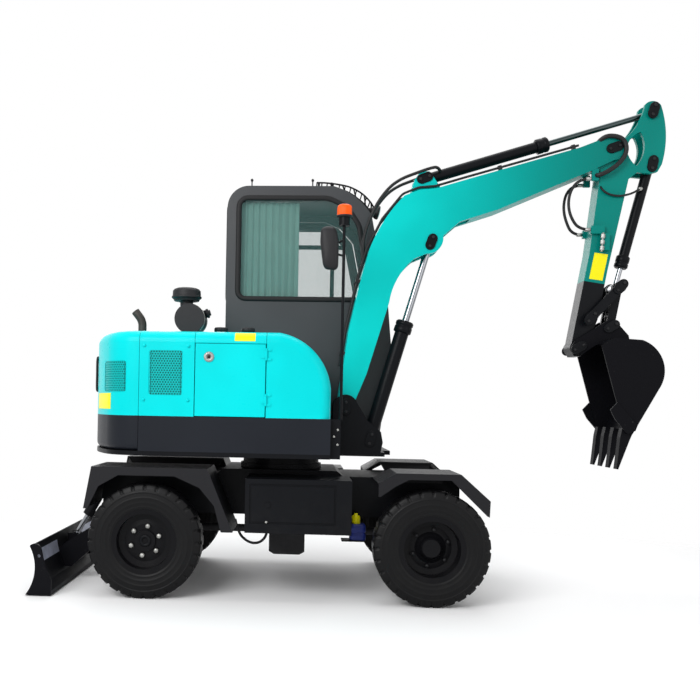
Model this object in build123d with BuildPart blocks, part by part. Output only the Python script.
from build123d import *
from math import hypot, radians, sqrt, tan
import os

os.makedirs("parts", exist_ok=True)

# A wheeled excavator of the five to six tonne class. Millimetres, X forward, Y to its left, Z up.
# Side views are drawn with X from the slew axis and Z from the ground.
SLEW_X = -534.3

# Wheels and axles
TYRE_RADIUS = 405.0
TYRE_WIDTH = 215.0
RIM_RADIUS = 203.0
WHEEL_Y = 792.0
REAR_AXLE_X = -938.0
FRONT_AXLE_X = 1078.0
KINGPIN_Y = 640.0
SPINDLE_RADIUS = 45.0
PIN_RADIUS = 18.0
AXLE_RADIUS = 72.0
RUNNING_FIT = 0.05
SEAT_GAP = 0.3

# Undercarriage
FRAME_HALF = 400.0
FRAME_BOTTOM = 560.0
FRAME_TOP = 860.0
DECK_TOP = 900.0
FENDER_TOP = 930.0
FENDER_OUT = 896.0
FENDER_LIP = 24.0
FENDER_SHEET = 12.0
TOOLBOX_OUT = 880.0
BLADE_HALF = 900.0

# Revolving upper part
RING_RADIUS = 320.0
RING_TOP = 935.0
PLATE_BOTTOM = 1013.0
PLATE_TOP = 1045.0
SKIRT_TOP = 1295.0
HOOD_TOP = 1900.0
BODY_HALF = 880.0
TAIL_RADIUS = 1453.0
TAIL_CORNER = 280.0
HOOD_EDGE = 80.0
CORNER_START = -sqrt((TAIL_RADIUS - TAIL_CORNER) ** 2 - (BODY_HALF - TAIL_CORNER) ** 2)
HOOD_WALL = 25.0
NOSE_X = 360.0
SEAM = 3.0

# Cab
CAB_BACK = -464.0
CAB_RIGHT = -50.0
CAB_LEFT = 880.0
CAB_WALL = 40.0
GLASS = 6.0
DOOR_GAP = 6.0

# Digging arm, all on one plane beside the cab
ARM_Y = -200.0
BOOM_HALF = 110.0
SLOT_HALF = 65.0
FORK_INSIDE = 87.0
ARM_HALF = 80.0
HEAD_INSIDE = 50.0
EYE_HALF = 36.0
HOSE_Y = 98.0
HOSE_RADIUS = 11.0
ROCKER_INSIDE = 118.0
ROCKER_PLATE = 16.0
BUCKET_HALF = 300.0
EAR_INSIDE = 90.0
EAR_PLATE = 20.0

# Door hinges: centre lines as X and Y
HINGE_RADIUS = 8.5
HINGE_PIN = 5.0
HINGE_HALF = 25.0
HINGE_KNUCKLE = 16.0
HINGE_LEAF = 36.0
DOOR_HINGE = (-232.0, CAB_LEFT + 9.0)
DOOR_HINGE_LEVELS = (1350.0, 2000.0, 2750.0)
SERVICE_HINGE_LEVELS = (1420.0, 1740.0)

# Pins of the digging arm: X and Z
BOOM_FOOT = (492.0, 1384.0)
BOOM_NOSE = (2462.0, 3368.0)
BOOM_CYLINDER_FOOT = (682.0, 1145.0)
BOOM_CYLINDER_EYE = (1115.0, 2649.0)
ARM_CYLINDER_FOOT = (1063.0, 3144.0)
ARM_CYLINDER_EYE = (2749.0, 3653.0)
BUCKET_CYLINDER_FOOT = (2753.0, 3255.0)
ROCKER_TOP = (2517.0, 2321.0)
ROCKER_FOOT = (2307.0, 2087.0)
LINK_FOOT = (2463.5, 2025.5)
BUCKET_PIN = (2227.0, 1864.0)


def side(y):
    """The plane of a side view at this Y: across is X from the slew axis, up is Z."""
    return Plane(origin=(SLEW_X, y, 0), x_dir=(1, 0, 0), z_dir=(0, -1, 0))


def top(z):
    """The plane of a view from above at this height: across is X from the slew axis."""
    return Plane(origin=(SLEW_X, 0, z))


def cross(x):
    """The plane of a view from the front at this X: across is Y, up is Z."""
    return Plane(origin=(SLEW_X + x, 0, 0), x_dir=(0, 1, 0), z_dir=(1, 0, 0))


MACHINE = Plane(origin=(SLEW_X, 0, 0))
SIDES = (("right", -1), ("left", 1))


def save(part, name):
    """Label a finished piece and write it."""
    part.label = name
    export_step(part, f"parts/{name}.step")


def along(start, end, distance):
    """The point at this distance from start on the way to end."""
    length = hypot(end[0] - start[0], end[1] - start[1])
    share = distance / length
    return (start[0] + share * (end[0] - start[0]), start[1] + share * (end[1] - start[1]))


def span(start, end):
    """The distance between two points of a side view."""
    return hypot(end[0] - start[0], end[1] - start[1])


def slab(y_centre, half, *outlines):
    """Extrude closed outlines of a side view to both sides of the plane at y_centre."""
    with BuildSketch(side(y_centre)) as drawing:
        for points in outlines:
            with BuildLine():
                Polyline(*points, close=True)
            make_face()
    extrude(drawing.sketch, amount=half, both=True)


def block(centre, size, align=Align.CENTER):
    """A box by its middle, X from the slew axis; the alignment is that of its height."""
    with Locations(MACHINE.location * Location(centre)):
        Box(*size, align=(Align.CENTER, Align.CENTER, align))


def rod_between(start, end, radius, y=ARM_Y):
    """A round bar between two points of a side view."""
    direction = (end[0] - start[0], 0, end[1] - start[1])
    plane = Plane(origin=(SLEW_X + start[0], y, start[1]), z_dir=direction)
    with BuildSketch(plane) as drawing:
        Circle(radius)
    extrude(drawing.sketch, amount=span(start, end))


def pin(centre, radius, half, y=ARM_Y, mode=Mode.ADD):
    """A round pin, boss or bore across the side view."""
    with BuildSketch(side(y)) as drawing:
        with Locations(centre):
            Circle(radius)
    extrude(drawing.sketch, amount=half, both=True, mode=mode)


def ears(centre, radius, inside, outside, mode=Mode.ADD):
    """The same round boss on both sides of the arm plane, from inside to outside."""
    for hand in (-1, 1):
        with BuildSketch(side(ARM_Y + hand * (inside + outside) / 2)) as drawing:
            with Locations(centre):
                Circle(radius)
        extrude(drawing.sketch, amount=(outside - inside) / 2, both=True, mode=mode)


def hinge_half(centre, levels, reach, hand, half_height):
    """One half of a door's hinges: a barrel at each level with a leaf that reaches this far."""
    for z in levels:
        with BuildSketch(top(z)) as drawing:
            with Locations(centre):
                Circle(HINGE_RADIUS)
            with Locations((centre[0] + reach / 2, centre[1] - hand * 5)):
                Rectangle(abs(reach), 8)
        extrude(drawing.sketch, amount=half_height, both=True)


def hinge_space(centre, levels, radius, half_height, mode):
    """The round space of a hinge at each level, or the pin in it."""
    for z in levels:
        with BuildSketch(top(z)) as drawing:
            with Locations(centre):
                Circle(radius)
        extrude(drawing.sketch, amount=half_height, both=True, mode=mode)


def fixed_hinges(centre, levels, reach, hand):
    """The halves that stay on the body: knuckles above and below the door's barrels, and the pins."""
    for step in (-1, 1):
        middles = [z + step * (HINGE_HALF + 1 + HINGE_KNUCKLE / 2) for z in levels]
        hinge_half(centre, middles, reach, hand, HINGE_KNUCKLE / 2)
    hinge_space(centre, levels, HINGE_PIN, HINGE_HALF + HINGE_KNUCKLE, Mode.ADD)


def door_hinges(centre, levels, reach, hand):
    """The halves on the door, bored for the pins."""
    hinge_half(centre, levels, reach, hand, HINGE_HALF)
    hinge_space(centre, levels, HINGE_PIN + RUNNING_FIT, HINGE_HALF + 1, Mode.SUBTRACT)


# Tyres and rims. The section is drawn with Y from the wheel's middle and the radius up.
TYRE_SECTION = (
    # across, radius
    (-84.0, RIM_RADIUS),
    (-92.0, 232.0),
    (-TYRE_WIDTH / 2, 300.0),
    (-103.0, 352.0),
    (-96.0, 382.0),
    (-82.0, TYRE_RADIUS),
)
NUT_ANGLE = 20.0
DISCS = {
    # axle: outer face of the disc, its inner face, level and circle of the nuts
    "rear": (
        ((30, 192), (22, 150), (28, 118), (28, 76), (44, 74)),
        ((14, 76), (12, 150), (16, 188)),
        26,
        106,
    ),
    "front": (
        ((-10, 190), (-20, 150), (-12, 110), (10, 84), (36, 70), (44, 62)),
        ((-34, 76), (-36, 110), (-40, 150), (-34, 186)),
        -20,
        130,
    ),
}
WHEELS = (
    # name, axle X, side
    ("rear_right", REAR_AXLE_X, -1),
    ("rear_left", REAR_AXLE_X, 1),
    ("front_right", FRONT_AXLE_X, -1),
    ("front_left", FRONT_AXLE_X, 1),
)


def wheel_plane(axle_x, hand):
    """The half plane of a wheel's section: across points outwards, up is the radius."""
    return Plane(
        origin=(SLEW_X + axle_x, hand * WHEEL_Y, TYRE_RADIUS),
        x_dir=(0, hand, 0),
        z_dir=(hand, 0, 0),
    )


for name, axle_x, hand in WHEELS:
    axle = Axis((SLEW_X + axle_x, 0, TYRE_RADIUS), (0, 1, 0))
    with BuildPart() as tyre:
        with BuildSketch(wheel_plane(axle_x, hand)):
            with BuildLine():
                Polyline(*TYRE_SECTION, *[(-y, r) for y, r in reversed(TYRE_SECTION)], close=True)
            make_face()
        revolve(axis=axle)
    save(tyre.part, f"tyre_{name}")

    front, back, nut_face, nut_circle = DISCS[name.split("_")[0]]
    with BuildPart() as rim:
        with BuildSketch(wheel_plane(axle_x, hand)):
            with BuildLine():
                Polyline(
                    (-84, RIM_RADIUS), (84, RIM_RADIUS), (92, 232), (98, 232), (96, 196), *front, (44, 0),
                    (34, 0), (34, SPINDLE_RADIUS + RUNNING_FIT), (-84, SPINDLE_RADIUS + RUNNING_FIT),
                    (-84, 72), *back, (-84, 194),
                    close=True,
                )
            make_face()
        revolve(axis=axle)
        with BuildSketch(side(hand * (WHEEL_Y + nut_face))):
            with Locations((axle_x, TYRE_RADIUS)):
                with PolarLocations(nut_circle, 6, start_angle=NUT_ANGLE):
                    RegularPolygon(13, 6)
        extrude(amount=-hand * 16)
    save(rim.part, f"rim_{name}")


# Axles
def spindle(hand, axle_x, start):
    """A round spindle from this distance out to the wheel's cap."""
    with BuildSketch(side(hand * start)) as drawing:
        with Locations((axle_x, TYRE_RADIUS)):
            Circle(SPINDLE_RADIUS)
    extrude(drawing.sketch, amount=-hand * (WHEEL_Y + 33 - start))


AXLE_PAD_Y = 300.0
HOUSING_RADIUS = 140.0
REAR_TUBE_END = 700.0
YOKE_START = 540.0
KNUCKLE_HALF = 72.0
YOKE_PLATE = 24.0

for name, axle_x, tube_end in (
    ("rear_axle", REAR_AXLE_X, REAR_TUBE_END),
    ("front_axle", FRONT_AXLE_X, YOKE_START),
):
    with BuildPart() as beam:
        with BuildSketch(side(0)):
            with Locations((axle_x, TYRE_RADIUS)):
                Circle(AXLE_RADIUS)
        extrude(amount=tube_end, both=True)
        with BuildSketch(Plane(origin=(SLEW_X + axle_x, 0, TYRE_RADIUS), x_dir=(0, 1, 0), z_dir=(1, 0, 0))):
            with BuildLine():
                Polyline(
                    (-210, 0),
                    (-210, 80),
                    (-120, 124),
                    (-60, HOUSING_RADIUS),
                    (60, HOUSING_RADIUS),
                    (120, 124),
                    (210, 80),
                    (210, 0),
                    close=True,
                )
            make_face()
        revolve(axis=Axis((SLEW_X + axle_x, 0, TYRE_RADIUS), (0, 1, 0)))
        with BuildSketch(top(TYRE_RADIUS)):
            with Locations((axle_x, AXLE_PAD_Y), (axle_x, -AXLE_PAD_Y)):
                Rectangle(150, 90)
        extrude(amount=FRAME_BOTTOM - TYRE_RADIUS)
        for hand in (-1, 1):
            if name == "rear_axle":
                spindle(hand, axle_x, tube_end)
            else:
                height = KNUCKLE_HALF + YOKE_PLATE + 6
                with BuildSketch(side(hand * YOKE_START)):
                    with Locations((axle_x, TYRE_RADIUS)):
                        Rectangle(130, 2 * height)
                extrude(amount=-hand * 30)
                for level in (-1, 1):
                    with BuildSketch(top(TYRE_RADIUS + level * (height - YOKE_PLATE / 2))):
                        with Locations((axle_x, hand * (YOKE_START + KINGPIN_Y) / 2)):
                            Rectangle(100, KINGPIN_Y - YOKE_START)
                        with Locations((axle_x, hand * KINGPIN_Y)):
                            Circle(50)
                            Circle(PIN_RADIUS + RUNNING_FIT, mode=Mode.SUBTRACT)
                    extrude(amount=YOKE_PLATE / 2, both=True)
    save(beam.part, name)

# Steering knuckles with their kingpins and arms
STEER_ARM = 170.0
BALL_RADIUS = 12.0
for name, hand in SIDES:
    with BuildPart() as knuckle:
        with BuildSketch(top(TYRE_RADIUS)):
            with Locations((FRONT_AXLE_X, hand * KINGPIN_Y)):
                Circle(52)
        extrude(amount=KNUCKLE_HALF, both=True)
        with BuildSketch(top(TYRE_RADIUS)):
            with Locations((FRONT_AXLE_X, hand * KINGPIN_Y)):
                Circle(PIN_RADIUS)
        extrude(amount=KNUCKLE_HALF + YOKE_PLATE + 6, both=True)
        spindle(hand, FRONT_AXLE_X, KINGPIN_Y)
        arm_end = (FRONT_AXLE_X - STEER_ARM, hand * KINGPIN_Y)
        with BuildSketch(top(TYRE_RADIUS - 40)):
            with BuildLine():
                Polyline(
                    (FRONT_AXLE_X - 20, hand * (KINGPIN_Y + 30)),
                    (FRONT_AXLE_X - 20, hand * (KINGPIN_Y - 30)),
                    (arm_end[0], arm_end[1] - hand * 22),
                    (arm_end[0], arm_end[1] + hand * 22),
                    close=True,
                )
            make_face()
            with Locations(arm_end):
                Circle(28)
                Circle(BALL_RADIUS + RUNNING_FIT, mode=Mode.SUBTRACT)
        extrude(amount=24)
    save(knuckle.part, f"knuckle_{name}")

with BuildPart() as track_rod:
    with BuildSketch(side(0)):
        with Locations((FRONT_AXLE_X - STEER_ARM, TYRE_RADIUS - 62)):
            Circle(16)
    extrude(amount=KINGPIN_Y, both=True)
    for hand in (-1, 1):
        with BuildSketch(top(TYRE_RADIUS - 62)):
            with Locations((FRONT_AXLE_X - STEER_ARM, hand * KINGPIN_Y)):
                Circle(24)
        extrude(amount=16, both=True)
        with BuildSketch(top(TYRE_RADIUS - 62)):
            with Locations((FRONT_AXLE_X - STEER_ARM, hand * KINGPIN_Y)):
                Circle(BALL_RADIUS)
        extrude(amount=52)
save(track_rod.part, "track_rod")

# Chassis
BLADE_PIVOT = (-1240.0, 500.0)
BLADE_ARM_Y = 290.0
BLADE_RAM_TOP = (-1395.0, 760.0)
FRAME_BACK = -1345.0
FRAME_FRONT = 1345.0
EYE_X = 1381.0
EYE_Y = 350.0
EYE_LEVEL = 652.0
EYE_PLATE = 24.0
EYE_BORE = 16.0
EYE_LUG = 34.0
with BuildPart() as chassis:
    slab(
        0,
        FRAME_HALF,
        (
            (FRAME_BACK, 610),
            (FRAME_BACK, FRAME_TOP),
            (-480, FRAME_TOP),
            (-430, DECK_TOP),
            (430, DECK_TOP),
            (480, FRAME_TOP),
            (FRAME_FRONT, FRAME_TOP),
            (FRAME_FRONT, 610),
            (1295, FRAME_BOTTOM),
            (-1295, FRAME_BOTTOM),
        ),
    )
    with BuildSketch(top(FRAME_BOTTOM)):
        for x, length in ((-1100, 220), (-560, 380), (560, 380), (1100, 220)):
            with Locations((x, 0)):
                Rectangle(length, 2 * AXLE_PAD_Y - 130)
    extrude(amount=FRAME_TOP - FRAME_BOTTOM - 20, mode=Mode.SUBTRACT)
    with BuildSketch(side(0)):
        with Locations((-1345, 800)):
            Rectangle(160, 400)
    extrude(amount=75, both=True, mode=Mode.SUBTRACT)
    for hand in (-1, 1):
        slab(
            hand * (BLADE_ARM_Y + 50),
            12,
            ((-1310, 620), (-1290, 455), (-1190, 455), (-1150, 620)),
        )
        slab(
            hand * (BLADE_ARM_Y - 50),
            12,
            ((-1310, 620), (-1290, 455), (-1190, 455), (-1150, 620)),
        )
        pin(BLADE_PIVOT, 20, 62, y=hand * BLADE_ARM_Y)
        slab(
            hand * 60,
            12,
            ((-1262, 840), (-1395, 792), (-1430, 760), (-1395, 728), (-1262, 700)),
        )
        with BuildSketch(top(EYE_LEVEL)):
            with Locations(((FRAME_FRONT + EYE_X) / 2 - 5, hand * EYE_Y)):
                Rectangle(EYE_X - FRAME_FRONT + 10, 2 * EYE_LUG)
            with Locations((EYE_X, hand * EYE_Y)):
                Circle(EYE_LUG)
                Circle(EYE_BORE, mode=Mode.SUBTRACT)
        extrude(amount=EYE_PLATE / 2, both=True)
    pin(BLADE_RAM_TOP, 20, 72, y=0)
save(chassis.part, "chassis_frame")

# Fenders with their chequer-plate tops and outer lips
FENDERS = (
    # name, sheet outline from the back forwards, lip outline below it
    (
        "fenders_front",
        ((700, 858), (823, FENDER_TOP), (1266, FENDER_TOP), (1467, 751)),
        ((1463, 640), (1450, 645), (1200, 888), (908, 886), (817, 838), (714, 764), (700, 764)),
    ),
    (
        "fenders_rear",
        ((-1375, 631), (-1322, FENDER_TOP), (-498, FENDER_TOP), (-313, 487)),
        ((-395, 487), (-445, 670), (-552, 795), (-730, 872), (-1130, 872), (-1270, 790), (-1345, 631)),
    ),
)
for name, sheet, lip in FENDERS:
    with BuildPart() as fender:
        for hand in (-1, 1):
            middle = (FRAME_HALF + FENDER_OUT) / 2
            lowered = [(x, z - FENDER_SHEET) for x, z in sheet]
            if name == "fenders_rear":
                lowered[0] = (sheet[0][0] + FENDER_SHEET, sheet[0][1])
                lowered[1] = (sheet[1][0] + FENDER_SHEET, sheet[1][1] - FENDER_SHEET)
                lowered[2] = (sheet[2][0] - FENDER_SHEET / 2, sheet[2][1] - FENDER_SHEET)
                lowered[3] = (sheet[3][0] - FENDER_SHEET, sheet[3][1])
            slab(hand * middle, (FENDER_OUT - FRAME_HALF) / 2, (*sheet, *reversed(lowered)))
            slab(hand * (FENDER_OUT - FENDER_LIP / 2), FENDER_LIP / 2, (*sheet, *lip))
            slab(hand * (FRAME_HALF + 40), 12, (*sheet[1:3], (sheet[2][0] - 60, 830), (sheet[1][0] + 60, 830)))
            if name == "fenders_rear":
                block((sheet[2][0] - 360, hand * (FRAME_HALF + 30), 838), (500, 60, 20), Align.MIN)
            else:
                block((1045, hand * (FRAME_HALF + 30), 838), (300, 60, 20), Align.MIN)
    save(fender.part, name)

# Tool boxes between the wheels, each with a framed door and a turning knob
with BuildPart() as toolboxes:
    for name, hand in SIDES:
        with BuildSketch(side(hand * FRAME_HALF)):
            with BuildLine():
                Polyline((-229, 487), (-229, 867), (518, 867), (518, 487), close=True)
            make_face()
        extrude(amount=-hand * (TOOLBOX_OUT - FRAME_HALF))
        with BuildSketch(side(hand * TOOLBOX_OUT)):
            with Locations((105, 693)):
                Rectangle(607, 280)
                Rectangle(577, 250, mode=Mode.SUBTRACT)
        extrude(amount=hand * 8, mode=Mode.SUBTRACT)
        with BuildSketch(side(hand * TOOLBOX_OUT)):
            with Locations((-69, 686)):
                Circle(19)
        extrude(amount=-hand * 10)
save(toolboxes.part, "toolboxes")

with BuildPart() as driveline:
    slab(0, 130, ((-80, 240), (-80, FRAME_BOTTOM), (200, FRAME_BOTTOM), (200, 240), (160, 217), (-40, 217)))
    for start, end in (((200, 400), (930, 400)), ((-80, 400), (-790, 400))):
        with BuildSketch(cross(start[0])):
            with Locations((0, start[1])):
                Circle(30)
        extrude(amount=end[0] - start[0])
save(driveline.part, "driveline")

with BuildPart() as slew_ring:
    with BuildSketch(top(DECK_TOP)):
        Circle(RING_RADIUS)
    extrude(amount=RING_TOP - DECK_TOP)
save(slew_ring.part, "slew_ring")

# Dozer blade, its arms and its ram
BLADE_EYE = (-1655.0, 300.0)
with BuildPart() as blade:
    with BuildSketch(side(0)):
        with BuildLine():
            ThreePointArc((-1778, 8), (-1712, 190), (-1752, 355))
            Line((-1752, 355), (-1722, 366))
            ThreePointArc((-1722, 366), (-1690, 200), (-1640, 92))
            Polyline((-1640, 92), (-1593, 40), (-1593, 8), (-1778, 8))
        make_face()
    extrude(amount=BLADE_HALF, both=True)
    for hand in (-1, 1):
        slab(
            hand * BLADE_ARM_Y,
            34,
            (
                (-1690, 110), (-1700, 250), (-1640, 300), (-1260, 545), (-1205, 530), (-1200, 470), (-1230, 450),
                (-1600, 110),
            ),
        )
        pin(BLADE_PIVOT, 20 + RUNNING_FIT, 40, y=hand * BLADE_ARM_Y, mode=Mode.SUBTRACT)
        with BuildSketch(side(hand * (BLADE_HALF - 8))) as cheek:
            with BuildLine():
                ThreePointArc((-1778, 8), (-1712, 190), (-1752, 355))
                ThreePointArc((-1752, 355), (-1712, 372), (-1668, 335))
                Polyline((-1668, 335), (-1645, 240), (-1593, 120), (-1593, 8), (-1778, 8))
            make_face()
        extrude(cheek.sketch, amount=8, both=True)
        pin((-1684, 285), 12, 12, y=hand * (BLADE_HALF - 8), mode=Mode.SUBTRACT)
        slab(hand * 62, 10, ((-1700, 180), (-1700, 330), (-1640, 340), (-1612, 300), (-1640, 180)))
        pin(BLADE_EYE, 20, 22, y=hand * 62)
    for hand in (-1, 1):
        pin(BLADE_EYE, 26, 6, y=hand * 78)
save(blade.part, "blade")


# Hydraulic cylinders. Each has a foot eye, a barrel with its gland and a rod with its own eye.
def barrel_part(foot, eye, bore, rod, barrel_end, foot_pin, y=ARM_Y, eye_half=EYE_HALF):
    """A barrel from its foot eye to its gland, bored to let the rod run in it."""
    with BuildPart() as piece:
        rod_between(along(foot, eye, foot_pin + 10), along(foot, eye, barrel_end), bore, y)
        rod_between(along(foot, eye, barrel_end - 55), along(foot, eye, barrel_end), bore + 5, y)
        pin(foot, foot_pin + 16, eye_half, y)
        direction = (foot[0] - eye[0], 0, foot[1] - eye[1])
        mouth = along(foot, eye, barrel_end)
        plane = Plane(origin=(SLEW_X + mouth[0], y, mouth[1]), z_dir=direction)
        with BuildSketch(plane):
            Circle(rod + RUNNING_FIT)
        extrude(amount=barrel_end - 75, mode=Mode.SUBTRACT)
        pin(foot, foot_pin + RUNNING_FIT, eye_half + 5, y, mode=Mode.SUBTRACT)
    return piece.part


def rod_part(foot, eye, rod, reach, eye_radius, y=ARM_Y, eye_half=EYE_HALF, stub=12):
    """A rod that reaches this far into its barrel, with its eye and the pin that stays in it."""
    with BuildPart() as piece:
        length = span(foot, eye)
        rod_between(along(foot, eye, reach), along(foot, eye, length), rod, y)
        pin(eye, eye_radius, eye_half - 2, y)
        pin(eye, stub + 8, eye_half, y)
    return piece.part


BLADE_BARREL_END = 330.0
save(
    barrel_part(BLADE_RAM_TOP, BLADE_EYE, 38, 20, BLADE_BARREL_END, 20, y=0, eye_half=42),
    "blade_cylinder_barrel",
)
save(rod_part(BLADE_RAM_TOP, BLADE_EYE, 20, 240, 34, y=0, eye_half=32), "blade_cylinder_rod")

BOOM_BARREL_END = 945.0
save(
    barrel_part(BOOM_CYLINDER_FOOT, BOOM_CYLINDER_EYE, 54, 27, BOOM_BARREL_END, 28, eye_half=60),
    "boom_cylinder_barrel",
)
save(rod_part(BOOM_CYLINDER_FOOT, BOOM_CYLINDER_EYE, 27, 560, 50, eye_half=44), "boom_cylinder_rod")

ARM_BARREL_END = 975.0
save(
    barrel_part(ARM_CYLINDER_FOOT, ARM_CYLINDER_EYE, 42, 22, ARM_BARREL_END, 24),
    "arm_cylinder_barrel",
)
save(rod_part(ARM_CYLINDER_FOOT, ARM_CYLINDER_EYE, 22, 800, 42), "arm_cylinder_rod")

BUCKET_BARREL_END = 800.0
save(
    barrel_part(BUCKET_CYLINDER_FOOT, ROCKER_TOP, 37, 20, BUCKET_BARREL_END, 22),
    "bucket_cylinder_barrel",
)
save(rod_part(BUCKET_CYLINDER_FOOT, ROCKER_TOP, 20, 160, 38), "bucket_cylinder_rod")

# Boom: a bent box with a wide foot, a slot for the boom cylinder and a forked nose
with BuildPart() as boom:
    with BuildSketch(side(ARM_Y)):
        with BuildLine():
            Polyline((432, 1430), (502, 1966), (594, 2386), (650, 2590))
            ThreePointArc((650, 2590), (745, 2790), (907, 3000))
            Polyline((907, 3000), (1020, 3045), (1142, 3055), (1375, 3125), (2207, 3367), (2430, 3455))
            ThreePointArc((2430, 3455), (2555, 3368), (2462, 3275))
            Polyline((2462, 3275), (2289, 3190), (1610, 2898), (1327, 2805), (1203, 2695))
            ThreePointArc((1203, 2695), (1167, 2590), (1080, 2560))
            Line((1080, 2560), (990, 2521))
            ThreePointArc((990, 2521), (875, 2385), (807, 2188))
            Polyline((807, 2188), (645, 1638), (552, 1408), (432, 1430))
        make_face()
    extrude(amount=BOOM_HALF, both=True)
    pin(BOOM_FOOT, 72, BOOM_HALF)
    pin(BOOM_FOOT, 30 + RUNNING_FIT, BOOM_HALF + 5, mode=Mode.SUBTRACT)
    with BuildSketch(side(ARM_Y)):
        with BuildLine():
            Polyline(
                (880, 2380), (930, 2500), (975, 2600), (985, 2690), (1030, 2750), (1200, 2840), (1420, 2860),
                (1300, 2600), (1100, 2400),
                close=True,
            )
        make_face()
    extrude(amount=SLOT_HALF, both=True, mode=Mode.SUBTRACT)
    with BuildSketch(side(ARM_Y)):
        with Locations(BOOM_NOSE):
            Circle(200)
    extrude(amount=FORK_INSIDE, both=True, mode=Mode.SUBTRACT)
    pin(BOOM_NOSE, 28, FORK_INSIDE + 5)
    ears(BOOM_CYLINDER_EYE, 24, 50, SLOT_HALF + 2)
    for hand in (-1, 1):
        slab(
            ARM_Y + hand * 59,
            13,
            ((960, 3020), (985, 3130), (1030, 3195), (1095, 3195), (1130, 3150), (1190, 3060)),
        )
    pin(ARM_CYLINDER_FOOT, 54, EYE_HALF + 10, mode=Mode.SUBTRACT)
    pin(ARM_CYLINDER_FOOT, 24, 72)
    for hand in (-1, 1):
        block((2325, ARM_Y + hand * HOSE_Y, 3165), (50, 22, 90))
save(boom.part, "boom")

# Arm: a tapered box whose head is two open side plates
HEAD_HOLE = (
    # start, middle and end of each arc
    ((2562, 3369), (2594, 3448), (2660, 3494)),
    ((2660, 3494), (2692, 3372), (2634, 3238)),
    ((2634, 3238), (2586, 3292), (2562, 3369)),
)
with BuildPart() as arm:
    with BuildSketch(side(ARM_Y)):
        with BuildLine():
            Polyline((2201, 1800), (2172, 1850), (2190, 1950), (2301, 2579), (2372, 3200))
            ThreePointArc((2372, 3200), (2380, 3400), (2539, 3435))
            ThreePointArc((2539, 3435), (2638, 3553), (2690, 3700))
            ThreePointArc((2690, 3700), (2755, 3726), (2807, 3694))
            ThreePointArc((2807, 3694), (2846, 3481), (2820, 3250))
            Polyline((2820, 3250), (2790, 3195), (2740, 3180), (2640, 3190), (2578, 3138), (2436, 2451))
            Polyline((2436, 2451), (2370, 2080), (2285, 1850), (2250, 1800), (2201, 1800))
        make_face()
        with BuildLine():
            for start, middle, end in HEAD_HOLE:
                ThreePointArc(start, middle, end)
        make_face(mode=Mode.SUBTRACT)
    extrude(amount=ARM_HALF, both=True)
    with BuildSketch(side(ARM_Y)):
        with BuildLine():
            Polyline(
                (2560, 3480), (2640, 3440), (2670, 3330), (2640, 3280), (2600, 3110), (2900, 3110),
                (2900, 3800), (2560, 3800),
                close=True,
            )
        make_face()
    extrude(amount=HEAD_INSIDE, both=True, mode=Mode.SUBTRACT)
    pin(BOOM_NOSE, 85, ARM_HALF)
    pin(BOOM_NOSE, 28 + RUNNING_FIT, ARM_HALF + 5, mode=Mode.SUBTRACT)
    pin(BUCKET_CYLINDER_FOOT, 22, HEAD_INSIDE + 5)
    ears(ARM_CYLINDER_EYE, 22, 42, HEAD_INSIDE + 5)
    ears(ARM_CYLINDER_EYE, 30, ARM_HALF - 1, ARM_HALF + 12)
    pin(ROCKER_FOOT, 48, ARM_HALF + 10)
    pin(ROCKER_FOOT, 22 + RUNNING_FIT, ARM_HALF + 20, mode=Mode.SUBTRACT)
    pin(BUCKET_PIN, 58, ARM_HALF + 2)
    pin(BUCKET_PIN, 25 + RUNNING_FIT, ARM_HALF + 10, mode=Mode.SUBTRACT)
    for hand in (-1, 1):
        block((2350, ARM_Y + hand * (HOSE_Y - 3), 2752), (100, 30, 60))
    block((2404, ARM_Y - HOSE_Y + 3, 2660), (70, 30, 124))
save(arm.part, "arm")

# Rocker: two plates outside the arm, joined by the pin at their foot
with BuildPart() as rocker:
    for hand in (-1, 1):
        with BuildSketch(side(ARM_Y + hand * (ROCKER_INSIDE + ROCKER_PLATE / 2))):
            with BuildLine():
                normal = (-(ROCKER_TOP[1] - ROCKER_FOOT[1]), ROCKER_TOP[0] - ROCKER_FOOT[0])
                length = hypot(*normal)
                shift = (34 * normal[0] / length, 34 * normal[1] / length)
                Polyline(
                    (ROCKER_FOOT[0] + shift[0], ROCKER_FOOT[1] + shift[1]),
                    (ROCKER_TOP[0] + shift[0], ROCKER_TOP[1] + shift[1]),
                    (ROCKER_TOP[0] - shift[0], ROCKER_TOP[1] - shift[1]),
                    (ROCKER_FOOT[0] - shift[0], ROCKER_FOOT[1] - shift[1]),
                    close=True,
                )
            make_face()
            with Locations(ROCKER_FOOT, ROCKER_TOP):
                Circle(42)
        extrude(amount=ROCKER_PLATE / 2, both=True)
    pin(ROCKER_FOOT, 22, ROCKER_INSIDE + 5)
    ears(ROCKER_TOP, 22, 44, ROCKER_INSIDE + 5)
save(rocker.part, "rocker")

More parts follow.
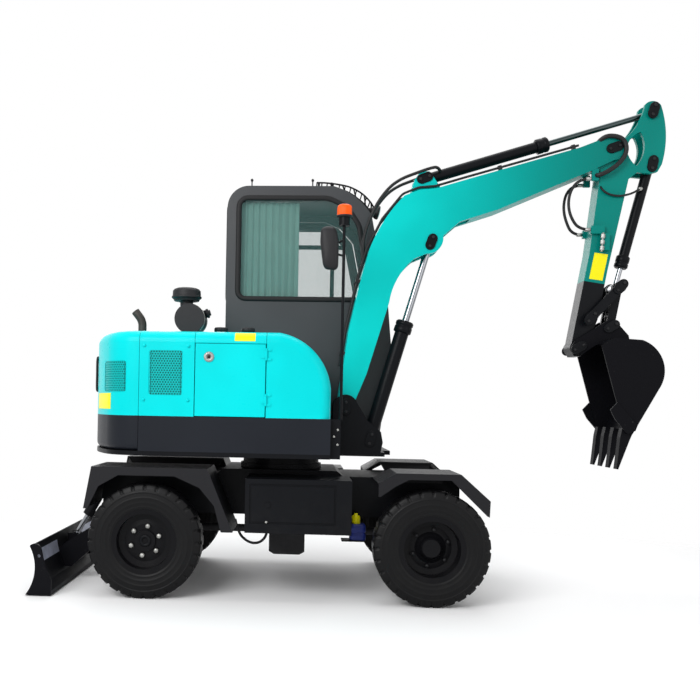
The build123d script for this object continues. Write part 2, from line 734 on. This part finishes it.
# Link: an open frame between the rocker's pin and the bucket's ears
with BuildPart() as link:
    for hand in (-1, 1):
        with BuildSketch(side(ARM_Y + hand * 66)):
            with BuildLine():
                normal = (-(LINK_FOOT[1] - ROCKER_TOP[1]), LINK_FOOT[0] - ROCKER_TOP[0])
                length = hypot(*normal)
                shift = (30 * normal[0] / length, 30 * normal[1] / length)
                Polyline(
                    (ROCKER_TOP[0] + shift[0], ROCKER_TOP[1] + shift[1]),
                    (LINK_FOOT[0] + shift[0], LINK_FOOT[1] + shift[1]),
                    (LINK_FOOT[0] - shift[0], LINK_FOOT[1] - shift[1]),
                    (ROCKER_TOP[0] - shift[0], ROCKER_TOP[1] - shift[1]),
                    close=True,
                )
            make_face()
            with Locations(ROCKER_TOP, LINK_FOOT):
                Circle(40)
        extrude(amount=14, both=True)
    rod_between(along(ROCKER_TOP, LINK_FOOT, 180), along(ROCKER_TOP, LINK_FOOT, 250), 26)
    pin(along(ROCKER_TOP, LINK_FOOT, 215), 24, 60)
    pin(LINK_FOOT, 40, 60)
    ears(ROCKER_TOP, 22 + RUNNING_FIT, 40, 90, mode=Mode.SUBTRACT)
save(link.part, "link")

# Bucket: a curved shell with two ears, side cutters and a lip with four teeth
BUCKET_WALL = 14.0
LIP_FRONT = (2500.0, 1250.0)
with BuildPart() as bucket:
    with BuildSketch(side(ARM_Y)):
        with BuildLine():
            Line((2330, 1870), (2420, 1925))
            Line((2420, 1925), (2620, 1912))
            ThreePointArc((2620, 1912), (2752, 1800), (2745, 1560))
            Line((2745, 1560), (2560, 1225))
            Line((2560, 1225), (2505, 1235))
            Line((2505, 1235), (2330, 1870))
        make_face()
    extrude(amount=BUCKET_HALF, both=True)
    with BuildSketch(side(ARM_Y)):
        with BuildLine():
            Line((2290, 1860), (2425, 1911))
            Line((2425, 1911), (2616, 1898))
            ThreePointArc((2616, 1898), (2738, 1795), (2731, 1566))
            Line((2731, 1566), (2545, 1228))
            Line((2545, 1228), (2490, 1200))
            Line((2490, 1200), (2290, 1860))
        make_face()
    extrude(amount=BUCKET_HALF - BUCKET_WALL, both=True, mode=Mode.SUBTRACT)
    for hand in (-1, 1):
        with BuildSketch(side(ARM_Y + hand * (EAR_INSIDE + EAR_PLATE / 2))):
            with BuildLine():
                Polyline(
                    (2250, 1812), (2330, 1870), (2420, 1925), (2600, 1913), (2590, 1960), (2500, 2060), (2440, 2075),
                    (2195, 1915), (2180, 1850),
                    close=True,
                )
            make_face()
            with Locations(BUCKET_PIN, LINK_FOOT):
                Circle(52)
        extrude(amount=EAR_PLATE / 2, both=True)
        slab(
            ARM_Y + hand * (BUCKET_HALF + 8),
            8,
            ((2445, 1455), (2395, 1400), (2430, 1330), (2520, 1225), (2575, 1250), (2590, 1290)),
        )
    pin(BUCKET_PIN, 25, EAR_INSIDE + 5)
    ears(LINK_FOOT, 25, 85, EAR_INSIDE + 5)
    for count in range(4):
        y = ARM_Y + (count - 1.5) * 170
        slab(
            y,
            32,
            ((2572, 1245), (2492, 1268), (2478, 1200), (2462, 1030), (2455, 968), (2468, 966), (2545, 1180)),
        )
save(bucket.part, "bucket")

# Revolving frame: the ring above the slew ring and the deck plate


def body_block(bottom, height, front, inset=0.0, ahead=None):
    """A block on the rounded tail's outline, from this X backwards, and on an outline ahead of it."""
    radius = TAIL_RADIUS - inset
    half = BODY_HALF - inset
    tail_x = -sqrt(radius**2 - half**2)
    with BuildSketch(top(bottom)) as outline:
        with BuildLine():
            Polyline((tail_x, -half), (front, -half), (front, half), (tail_x, half))
            ThreePointArc((tail_x, half), (-radius, 0), (tail_x, -half))
        make_face()
        corners = outline.vertices().group_by(Axis.X)[0]
        fillet(corners, TAIL_CORNER - inset)
        if ahead:
            with BuildLine():
                Polyline(*ahead, close=True)
            make_face()
    extrude(outline.sketch, amount=height)


with BuildPart() as upper_frame:
    deck = (
        (-400, -BODY_HALF), (NOSE_X, -BODY_HALF), (NOSE_X, -345), (790, -345), (790, -55), (860, -55),
        (860, BODY_HALF), (-400, BODY_HALF),
    )
    body_block(PLATE_BOTTOM, PLATE_TOP - PLATE_BOTTOM, -300, ahead=deck)
    with BuildSketch(top(RING_TOP + SEAT_GAP)):
        Circle(RING_RADIUS - 20)
    extrude(amount=PLATE_BOTTOM - RING_TOP - SEAT_GAP)
save(upper_frame.part, "upper_frame")

# Boom bracket: two plates with the boom foot's pin and the boom cylinder's pin
BRACKET_INSIDE = BOOM_HALF + 7
BRACKET_PLATE = 25.0
with BuildPart() as bracket:
    for hand in (-1, 1):
        with BuildSketch(side(ARM_Y + hand * (BRACKET_INSIDE + BRACKET_PLATE / 2))):
            with BuildLine():
                Polyline((395, PLATE_TOP), (397, 1395))
                ThreePointArc((397, 1395), (480, 1478), (575, 1420))
                Polyline((575, 1420), (660, 1280), (760, 1200), (775, 1120), (760, PLATE_TOP), (395, PLATE_TOP))
            make_face()
        extrude(amount=BRACKET_PLATE / 2, both=True)
    pin(BOOM_FOOT, 30, BRACKET_INSIDE + 5)
    pin(BOOM_CYLINDER_FOOT, 28, BRACKET_INSIDE + 5)
    ears(BOOM_CYLINDER_FOOT, 45, 66, BRACKET_INSIDE + 5)
    ears(BOOM_FOOT, 46, BRACKET_INSIDE + BRACKET_PLATE - 1, BRACKET_INSIDE + BRACKET_PLATE + 6)
save(bracket.part, "boom_bracket")

COUNTERWEIGHT_X = CORNER_START + 10
COUNTERWEIGHT_EDGE = 45.0
SKIRT_INSIDE = 360.0
with BuildPart() as counterweight:
    body_block(PLATE_TOP, SKIRT_TOP - PLATE_TOP, COUNTERWEIGHT_X)
    lower = counterweight.edges().group_by(Axis.Z)[0]
    fillet(lower.filter_by(lambda edge: edge.center().X < SLEW_X + COUNTERWEIGHT_X - 1), COUNTERWEIGHT_EDGE)
save(counterweight.part, "counterweight")

with BuildPart() as skirts:
    with BuildSketch(top(PLATE_TOP)):
        for hand, front in ((-1, NOSE_X), (1, CAB_BACK - 10)):
            back = COUNTERWEIGHT_X + SEAM
            with Locations(((back + front) / 2, hand * (BODY_HALF + SKIRT_INSIDE) / 2)):
                Rectangle(front - back, BODY_HALF - SKIRT_INSIDE)
    extrude(amount=SKIRT_TOP - PLATE_TOP)
save(skirts.part, "skirts")

with BuildPart() as engine:
    with BuildSketch(top(PLATE_TOP)):
        with Locations((-740, 0)):
            Rectangle(440, 640)
    extrude(amount=560)
save(engine.part, "engine")

# Hood: one hollow shell, cut at its seams into a tail, two side pieces and a nose
HOOD_INSIDE = -62.0


def hood_block(inset, height):
    """The hood's outer form, or its inside when it is drawn inset by the wall."""
    nose = (
        (CAB_BACK - 60, -BODY_HALF + inset), (NOSE_X - inset, -BODY_HALF + inset),
        (NOSE_X - inset, HOOD_INSIDE - inset), (CAB_BACK - 60, HOOD_INSIDE - inset),
    )
    with BuildPart() as block:
        body_block(SKIRT_TOP, height, CAB_BACK - 10 - inset, inset, nose)
        with BuildSketch(side(0)):
            with BuildLine():
                Polyline((-6, HOOD_TOP - inset), (NOSE_X + 10, HOOD_TOP + 10), (NOSE_X + 10, 1500))
                Line((NOSE_X + 10, 1500), (NOSE_X - inset, 1500))
                ThreePointArc((NOSE_X - inset, 1500), (235 - 0.7 * inset, 1775 - 0.7 * inset), (-6, HOOD_TOP - inset))
            make_face()
        extrude(amount=BODY_HALF + 10, both=True, mode=Mode.SUBTRACT)
        rim = []
        for edge in block.edges():
            outer_side = abs(abs(edge.center().Y) - BODY_HALF + inset) < 1
            at_top = abs(edge.center().Z - SKIRT_TOP - height) < 1
            tail = at_top and edge.center().X < SLEW_X + CORNER_START - 1
            nose = outer_side and edge.geom_type == GeomType.CIRCLE
            if tail or nose or (outer_side and at_top):
                rim.append(edge)
        fillet(rim, HOOD_EDGE - inset)
    return block.part


with BuildPart() as hood:
    add(hood_block(0, HOOD_TOP - SKIRT_TOP))
    add(hood_block(HOOD_WALL, HOOD_TOP - SKIRT_TOP - HOOD_WALL), mode=Mode.SUBTRACT)

# Grilles: shallow pockets in the hood's skin, the same on both sides
DOOR_FRONT = -99.0
DOOR_BACK = -604.0
GRILLE_DEPTH = 5.0
GRILLES = {
    # node: back X, front X, bottom Z, top Z
    "hood_tail": (CORNER_START - 277, CORNER_START - 80, 1462.0, 1682.0),
    "hood_grille_side": (COUNTERWEIGHT_X + 70, DOOR_BACK - 81, 1443.0, 1759.0),
}
with BuildPart() as skin:
    add(hood.part)
    add(hood_block(GRILLE_DEPTH, HOOD_TOP - SKIRT_TOP - GRILLE_DEPTH), mode=Mode.SUBTRACT)

HOOD_PIECES = (
    # name, back X, front X
    ("hood_tail", -1500.0, COUNTERWEIGHT_X),
    ("hood_grille_side", COUNTERWEIGHT_X + SEAM, DOOR_BACK),
    ("hood_middle", DOOR_BACK + SEAM, DOOR_FRONT),
    ("hood_nose", DOOR_FRONT + SEAM, NOSE_X + 20.0),
)
SERVICE_DOOR_TOP = HOOD_TOP - HOOD_EDGE - 5
SERVICE_HINGE = (DOOR_FRONT + SEAM / 2, -BODY_HALF - 9.0)
for name, back, front in HOOD_PIECES:
    with BuildPart() as piece:
        add(hood.part)
        with BuildSketch(top(SKIRT_TOP - 50)):
            with Locations(((back + front) / 2, 0)):
                Rectangle(front - back, 2 * BODY_HALF + 100)
        extrude(amount=800, mode=Mode.INTERSECT)
        if name in GRILLES:
            rear, fore, bottom, top_edge = GRILLES[name]
            with BuildPart() as pocket:
                with BuildSketch(side(0)):
                    with Locations(((rear + fore) / 2, (bottom + top_edge) / 2)):
                        RectangleRounded(fore - rear, top_edge - bottom, 22)
                extrude(amount=BODY_HALF + 10, both=True)
                add(skin.part, mode=Mode.INTERSECT)
            add(pocket.part, mode=Mode.SUBTRACT)
        if name == "hood_middle":
            with BuildSketch(side(-BODY_HALF)):
                with BuildLine():
                    Polyline(
                        (back - 1, SKIRT_TOP - 1), (back - 1, SERVICE_DOOR_TOP),
                        (front + 1, SERVICE_DOOR_TOP), (front + 1, SKIRT_TOP - 1),
                        close=True,
                    )
                make_face()
            extrude(amount=-HOOD_WALL - 1, mode=Mode.SUBTRACT)
        if name == "hood_nose":
            fixed_hinges(SERVICE_HINGE, SERVICE_HINGE_LEVELS, HINGE_LEAF, -1)
    save(piece.part, name)

# Service door in the right wall of the hood, hung at its front edge
with BuildPart() as service_door:
    with BuildSketch(side(-BODY_HALF)):
        with BuildLine():
            back = DOOR_BACK + SEAM + 3
            front = DOOR_FRONT - 4
            Polyline(
                (back, SKIRT_TOP + 5), (back, SERVICE_DOOR_TOP - 4), (front, SERVICE_DOOR_TOP - 4),
                (front, SKIRT_TOP + 5),
                close=True,
            )
        make_face()
    extrude(amount=-HOOD_WALL)
    door_hinges(SERVICE_HINGE, SERVICE_HINGE_LEVELS, -HINGE_LEAF, -1)
    with BuildSketch(side(-BODY_HALF)):
        with Locations((-502, 1717)):
            Circle(37)
    extrude(amount=4)
save(service_door.part, "service_door")

# Cab: a hollow shell with its windows and door opening cut through the walls
CAB_FLOOR = PLATE_TOP
CAB_ROOF = 3136.0
WINDOW_BOTTOM = 2245.0


def cab_profile(inset):
    """The cab seen from the side; the inset one is its inside."""
    k = inset
    Polyline((CAB_BACK + k, CAB_FLOOR + k), (CAB_BACK + k, 2966))
    ThreePointArc((CAB_BACK + k, 2966), (-414 + 0.7 * k, 3086 - 0.7 * k), (-294, CAB_ROOF - k))
    Line((-294, CAB_ROOF - k), (379, CAB_ROOF - k))
    ThreePointArc((379, CAB_ROOF - k), (545 - 0.5 * k, 3055 - 0.9 * k), (681 - k, 2910))
    Polyline((681 - k, 2910), (823 - k, 2205), (868 - k, 1720), (790 - k, 1280), (760 - k, CAB_FLOOR + k))
    Line((760 - k, CAB_FLOOR + k), (CAB_BACK + k, CAB_FLOOR + k))


def side_window(grow):
    """The right-hand window, with its large front-top corner."""
    with BuildLine() as outline:
        Polyline((-330, WINDOW_BOTTOM - grow), (-362 - grow, WINDOW_BOTTOM + 32), (-362 - grow, 2990))
        Polyline((-362 - grow, 2990), (-325, 3030 + grow), (340, 3030 + grow))
        ThreePointArc((340, 3030 + grow), (478 + 0.7 * grow, 2965 + 0.7 * grow), (575 + grow, 2820))
        Polyline((575 + grow, 2820), (640 + grow, 2450), (640 + grow, WINDOW_BOTTOM + 20))
        Polyline((640 + grow, WINDOW_BOTTOM + 20), (610, WINDOW_BOTTOM - grow), (-330, WINDOW_BOTTOM - grow))
    make_face(outline.edges())


DOOR_OUTLINE = (
    (-235, 1110), (-235, 3040), (330, 3040), (470, 2985), (590, 2850), (722, 2200), (760, 1720), (700, 1290),
    (672, 1110),
)
DOOR_WINDOW = ((-165, 1700), (-165, 2970), (320, 2970), (430, 2920), (530, 2800), (655, 2190), (690, 1700))


with BuildPart() as cab:
    middle = (CAB_RIGHT + CAB_LEFT) / 2
    half = (CAB_LEFT - CAB_RIGHT) / 2
    with BuildSketch(side(middle)):
        with BuildLine():
            cab_profile(0)
        make_face()
    extrude(amount=half, both=True)
    with BuildSketch(side(middle)):
        with BuildLine():
            cab_profile(CAB_WALL)
        make_face()
    extrude(amount=half - CAB_WALL, both=True, mode=Mode.SUBTRACT)
    with BuildSketch(side(CAB_RIGHT + CAB_WALL / 2)):
        side_window(0)
    extrude(amount=CAB_WALL, both=True, mode=Mode.SUBTRACT)
    with BuildSketch(side(CAB_LEFT - CAB_WALL / 2)):
        with BuildLine():
            Polyline(*DOOR_OUTLINE, close=True)
        make_face()
        with BuildLine():
            Polyline((-400, WINDOW_BOTTOM), (-400, 2990), (-290, 2990), (-290, WINDOW_BOTTOM), close=True)
        make_face()
    extrude(amount=CAB_WALL, both=True, mode=Mode.SUBTRACT)
    with BuildSketch(side(middle)):
        with BuildLine():
            Polyline((600, 2850), (800, 2850), (960, 1760), (760, 1760), close=True)
        make_face()
    extrude(amount=half - 70, both=True, mode=Mode.SUBTRACT)
    with BuildSketch(cross(CAB_BACK)):
        with Locations((middle, 2610)):
            Rectangle(2 * half - 160, 720)
    extrude(amount=CAB_WALL * 1.5, both=True, mode=Mode.SUBTRACT)
    fixed_hinges(DOOR_HINGE, DOOR_HINGE_LEVELS, -HINGE_LEAF, 1)
save(cab.part, "cab_shell")

with BuildPart() as glass:
    with BuildSketch(side(CAB_RIGHT + 8)):
        side_window(-SEAT_GAP)
    extrude(amount=GLASS / 2, both=True)
    with BuildSketch(side(CAB_LEFT - 8)):
        with BuildLine():
            Polyline(
                (-400 + SEAT_GAP, WINDOW_BOTTOM + SEAT_GAP), (-400 + SEAT_GAP, 2990 - SEAT_GAP),
                (-290 - SEAT_GAP, 2990 - SEAT_GAP), (-290 - SEAT_GAP, WINDOW_BOTTOM + SEAT_GAP),
                close=True,
            )
        make_face()
    extrude(amount=GLASS / 2, both=True)
    with BuildSketch(cross(CAB_BACK + 10)):
        with Locations((middle, 2610)):
            Rectangle(2 * half - 160 - 2 * SEAT_GAP, 720 - 2 * SEAT_GAP)
    extrude(amount=GLASS / 2, both=True)
    with BuildSketch(side(middle)):
        with BuildLine():
            Polyline((684, 2848), (690, 2848), (816, 2205), (857, 1762), (851, 1762), (810, 2205), close=True)
        make_face()
    extrude(amount=half - 70 - SEAT_GAP, both=True)
save(glass.part, "cab_glass")

# Cab door: as thick as the wall, with its own window and a handle
def inset_outline(points, distance):
    """An outline drawn inwards by a distance, corner by corner towards its middle."""
    centre_x = sum(p[0] for p in points) / len(points)
    centre_z = sum(p[1] for p in points) / len(points)
    inner = []
    for x, z in points:
        inward_x = -1 if x > centre_x else 1
        inward_z = -1 if z > centre_z else 1
        inner.append((x + distance * inward_x, z + distance * inward_z))
    return inner


with BuildPart() as door:
    with BuildSketch(side(CAB_LEFT - CAB_WALL / 2)):
        with BuildLine():
            Polyline(*inset_outline(DOOR_OUTLINE, DOOR_GAP), close=True)
        make_face()
        with BuildLine():
            Polyline(*DOOR_WINDOW, close=True)
        make_face(mode=Mode.SUBTRACT)
    extrude(amount=CAB_WALL / 2, both=True)
    door_hinges(DOOR_HINGE, DOOR_HINGE_LEVELS, HINGE_LEAF, 1)
    with BuildSketch(side(CAB_LEFT)):
        with Locations((620, 1560)):
            SlotOverall(150, 30)
    extrude(amount=-18)
save(door.part, "cab_door")

with BuildPart() as door_glass:
    with BuildSketch(side(CAB_LEFT - 8)):
        with BuildLine():
            Polyline(*inset_outline(DOOR_WINDOW, SEAT_GAP), close=True)
        make_face()
    extrude(amount=GLASS / 2, both=True)
save(door_glass.part, "cab_door_glass")

# Seat, consoles and levers
SEAT_Y = 415.0
with BuildPart() as seat:
    slab(SEAT_Y, 240, ((-220, 1500), (-220, 1620), (230, 1640), (250, 1590), (240, 1500)))
    slab(SEAT_Y, 230, ((-300, 1621), (-390, 2230), (-310, 2250), (-200, 1700), (-190, 1622)))
save(seat.part, "seat")

with BuildPart() as seat_base:
    with BuildSketch(top(CAB_FLOOR + CAB_WALL)):
        with Locations((-50, SEAT_Y)):
            Rectangle(420, 480)
    extrude(amount=1500 - CAB_FLOOR - CAB_WALL)
    for hand in (-1, 1):
        with BuildSketch(top(CAB_FLOOR + CAB_WALL)):
            with Locations((-20, SEAT_Y + hand * 320)):
                Rectangle(480, 130)
        extrude(amount=560)
        with BuildSketch(top(CAB_FLOOR + CAB_WALL + 560)):
            with Locations((150, SEAT_Y + hand * 320)):
                Circle(16)
        extrude(amount=200)
save(seat_base.part, "consoles")

# What stands on the hood: exhaust pipe, air cleaner and filler caps
STACK_Y = 380.0 - BODY_HALF
PIPE_TIP = (-1104.0, 2072.0)
with BuildPart() as exhaust:
    with BuildSketch(top(HOOD_TOP)):
        with Locations((-1048, STACK_Y)):
            Circle(46)
    extrude(amount=8)
    with BuildLine(side(STACK_Y)) as route:
        FilletPolyline((-1048, HOOD_TOP), (-1048, 2000), PIPE_TIP, radius=110)
    for radius, mode in ((31, Mode.ADD), (27, Mode.SUBTRACT)):
        with BuildSketch(top(HOOD_TOP)) as section:
            with Locations((-1048, STACK_Y)):
                Circle(radius)
        sweep(section.sketch, path=route.line, mode=mode)
save(exhaust.part, "exhaust")

CANISTER = (-682.0, HOOD_TOP + 114)
PRECLEANER = (
    # half section: X from the slew axis and Z
    (-718, 2040), (-718, 2248), (-640, 2248), (-624, 2240), (-614, 2228), (-612, 2190), (-606, 2186), (-606, 2176),
    (-618, 2166), (-626, 2152), (-664, 2148), (-670, 2138), (-670, 2118), (-678, 2110), (-678, 2040),
)
with BuildPart() as air_cleaner:
    for radius, start, length in ((110, 0, 230), (100, 230, 30), (46, 260, 14)):
        with BuildSketch(side(STACK_Y - 110 + start)):
            with Locations(CANISTER):
                Circle(radius)
        extrude(amount=-length)
    slab(STACK_Y, 60, ((-780, HOOD_TOP), (-700, 1960), (-640, 1960), (-580, HOOD_TOP)))
    with BuildSketch(side(STACK_Y)):
        with BuildLine():
            Polyline(*PRECLEANER, close=True)
        make_face()
    revolve(axis=Axis((SLEW_X + PRECLEANER[0][0], STACK_Y, 0), (0, 0, 1)))
save(air_cleaner.part, "air_cleaner")

with BuildPart() as caps:
    for x in (-455, -253):
        with BuildSketch(top(HOOD_TOP)):
            with Locations((x, STACK_Y)):
                Circle(50)
        extrude(amount=58)
save(caps.part, "filler_caps")

# Lamp mast with its beacon and the mirror
MAST = (432.0, 80.0 - BODY_HALF)
MAST_RADIUS = 11.0
MAST_FOOT_TOP = PLATE_BOTTOM + 280
BEACON_BASE = 2661.0
BEACON_BOTTOM = BEACON_BASE + 70
with BuildPart() as mast:
    with BuildSketch(top(PLATE_BOTTOM)):
        with Locations((MAST[0] - 36, MAST[1])):
            Rectangle(72, 60)
    extrude(amount=MAST_FOOT_TOP - PLATE_BOTTOM)
    with BuildSketch(top(MAST_FOOT_TOP)):
        with Locations(MAST):
            Circle(MAST_RADIUS)
    extrude(amount=BEACON_BASE - MAST_FOOT_TOP)
    with BuildSketch(top(BEACON_BASE)):
        with Locations(MAST):
            Circle(40)
    extrude(amount=BEACON_BOTTOM - BEACON_BASE)
save(mast.part, "beacon_mast")

with BuildPart() as beacon:
    with BuildSketch(top(BEACON_BOTTOM)):
        with Locations(MAST):
            Circle(52)
    extrude(amount=81)
save(beacon.part, "beacon")

with BuildPart() as mirror:
    slab(MAST[1], 14, ((270, 2350), (270, 2655), (395, 2655), (395, 2350)))
    with BuildSketch(cross(395)):
        with Locations((MAST[1], 2500)):
            Rectangle(16, 40)
    extrude(amount=MAST[0] - MAST_RADIUS - 395 - SEAT_GAP)
save(mirror.part, "mirror")

# Guard strip over the roof's front corner, on four short posts
with BuildPart() as roof_guard:
    with BuildSketch(side(middle)):
        with BuildLine():
            ThreePointArc((247, 3198), (520, 3160), (708, 3000))
            Line((708, 3000), (704, 2996))
            ThreePointArc((704, 2996), (517, 3155), (247, 3192))
            Line((247, 3192), (247, 3198))
        make_face()
    extrude(amount=half - 60, both=True)
    for x, height in ((262, 57), (365, 54)):
        for y in (middle - 330, middle + 330):
            with BuildSketch(top(CAB_ROOF + SEAT_GAP)):
                with Locations((x, y)):
                    Rectangle(14, 30)
            extrude(amount=height)
save(roof_guard.part, "roof_guard")

# Curtain along the back half of the right-hand window
with BuildPart() as curtain:
    with BuildSketch(top(2190)):
        with Locations((-120, CAB_RIGHT + CAB_WALL + 17 + SEAT_GAP)):
            Rectangle(470, 34)
    extrude(amount=830)
save(curtain.part, "curtain")

# Pipes along the boom's back and top, held off it by clamps
PIPE_OFFSET = 22.0
PIPE_RADIUS = 9.0
BOOM_BACK = (
    # the boom's back edge from its foot to its nose
    (467, 1700), (502, 1966), (594, 2386), (650, 2590), (762, 2815), (907, 3000), (1020, 3045), (1142, 3055),
    (1375, 3125), (2207, 3367),
)


def off_edge(start, end, share, distance):
    """A point off a straight edge, at this share of its length and this far to its left."""
    length = span(start, end)
    across = (start[1] - end[1]) / length
    up = (end[0] - start[0]) / length
    x = start[0] + share * (end[0] - start[0]) + distance * across
    z = start[1] + share * (end[1] - start[1]) + distance * up
    return (x, z)


with BuildPart() as pipes:
    edges = list(zip(BOOM_BACK, BOOM_BACK[1:]))
    corners = []
    for before, after in zip(edges, edges[1:]):
        x1, z1 = off_edge(*before, 1, PIPE_OFFSET)
        x2, z2 = off_edge(*after, 0, PIPE_OFFSET)
        corners.append(((x1 + x2) / 2, (z1 + z2) / 2))
    start = off_edge(*edges[0], 0, PIPE_OFFSET)
    end = off_edge(*edges[-1], 1, PIPE_OFFSET)
    for hand in (-1, 1):
        y = ARM_Y + hand * 92
        with BuildLine(side(y)) as route:
            FilletPolyline(start, *corners, end, radius=90)
        with BuildSketch(Plane(origin=route.line @ 0, z_dir=route.line % 0)):
            Circle(PIPE_RADIUS)
        sweep(path=route.line)
        for edge, share in ((edges[0], 0.35), (edges[1], 0.9), (edges[-1], 0.3), (edges[-1], 0.95)):
            half_share = 14 / span(*edge)
            low = [off_edge(*edge, share + k * half_share, SEAT_GAP) for k in (-1, 1)]
            high = [off_edge(*edge, share + k * half_share, PIPE_OFFSET + 14) for k in (1, -1)]
            slab(y, 14, (*low, *high))
save(pipes.part, "boom_pipes")

# Hoses that hang in loops between the boom's nose and the arm
HOSES = (
    # side of the arm, route from the boom's fitting to the arm's
    (-1, ((2300, 3135), (2222, 3135), (2150, 3060), (2128, 2950), (2150, 2845), (2215, 2752), (2300, 2752))),
    (1, ((2300, 3135), (2230, 3135), (2170, 3070), (2152, 2965), (2170, 2865), (2222, 2752), (2300, 2752))),
)
with BuildPart() as hoses:
    for hand, points in HOSES:
        radii = []
        for before, here, after in zip(points, points[1:], points[2:]):
            arriving = Vector(here[0] - before[0], here[1] - before[1])
            leaving = Vector(after[0] - here[0], after[1] - here[1])
            shorter = min(arriving.length, leaving.length)
            radii.append(0.45 * shorter / tan(radians(arriving.get_angle(leaving) / 2)))
        print("hose radii", [round(radius) for radius in radii])
        with BuildLine(side(ARM_Y + hand * HOSE_Y)) as route:
            FilletPolyline(*points, radius=radii)
        with BuildSketch(Plane(origin=route.line @ 0, z_dir=route.line % 0)):
            Circle(HOSE_RADIUS)
        sweep(path=route.line)
save(hoses.part, "hose_loops")
